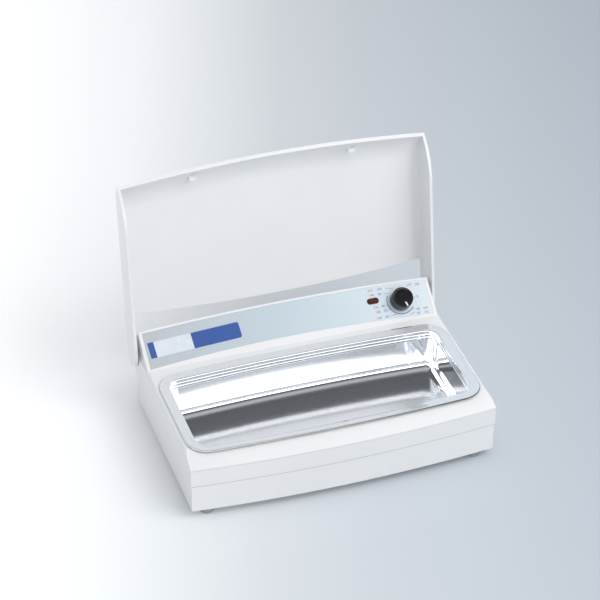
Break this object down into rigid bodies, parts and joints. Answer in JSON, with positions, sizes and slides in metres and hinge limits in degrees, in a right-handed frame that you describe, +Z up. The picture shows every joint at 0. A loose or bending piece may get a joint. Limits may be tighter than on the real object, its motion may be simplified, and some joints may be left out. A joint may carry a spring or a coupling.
{
  "type": "dental lab wax heater",
  "caption": "Low white wax heater with a bowed front, polished steel trough, sloped control panel with a knob and lamp, rubber feet and a hinged lid that stands open.",
  "frame": {"origin": "centre of the bounding box at its bottom, on the plane the feet stand on, with the lid open at rest", "axes": "+X is the object's right seen from the front and its longest side, -Y points to the front, +Z is up"},
  "size_m": [0.338, 0.2584, 0.2641],
  "materials": {
    "white_abs": "satin",
    "polished_steel": "polished",
    "gasket": "matte",
    "silicone_mat": "matte",
    "mineral_wool": "matte",
    "zinc_sheet": "satin",
    "zinc_steel": "satin",
    "panel_foil": "satin",
    "label_print": "satin",
    "lamp_red": "gloss",
    "black_plastic": "satin",
    "copper": "satin",
    "cream_plastic": "matte",
    "cable_sheath": "satin",
    "brass": "satin",
    "bush_plastic": "matte",
    "foot_rubber": "matte",
    "buffer_rubber": "matte",
    "knob_black": "gloss",
    "pointer_white": "matte"
  },
  "bodies": {
    "base": {"lower_housing": "white_abs", "upper_housing": "white_abs", "trough": "polished_steel", "trough_gasket": "gasket", "heater_mat": "silicone_mat", "insulation": "mineral_wool", "clamp_plate": "zinc_sheet", "clamp_nuts": "zinc_steel", "trough_straps": "zinc_sheet", "strap_screws": "zinc_steel", "control_foil": "panel_foil", "label_plate": "label_print", "pilot_lens": "lamp_red", "pilot_body": "black_plastic", "thermostat_body": "black_plastic", "thermostat_nut": "zinc_steel", "capillary": "copper", "sensor_bulb": "copper", "safety_cutout": "black_plastic", "terminal_block": "cream_plastic", "wiring": "cable_sheath", "earth_lug": "brass", "cord_gland": "black_plastic", "gland_nut": "black_plastic", "hinge_bushes": "bush_plastic", "rubber_feet": "foot_rubber", "foot_screws": "zinc_steel", "housing_screws": "zinc_steel"},
    "lid": {"lid_shell": "white_abs", "lid_buffers": "buffer_rubber", "hinge_pins": "zinc_steel"},
    "knob": {"temperature_knob": "knob_black", "knob_pointer": "pointer_white", "thermostat_shaft": "zinc_steel"}
  },
  "joints": [
    {"name": "lid_hinge", "type": "hinge", "parent": "base", "child": "lid", "pos_m": [0, 0.07928, 0.061], "axis": [1, 0, 0], "range_deg": [0, 99]},
    {"name": "knob_turn", "type": "hinge", "parent": "base", "child": "knob", "pos_m": [0.1265, 0.05997, 0.08408], "axis": [0, -0.6018, 0.7986], "range_deg": [-226, 74]}
  ]
}
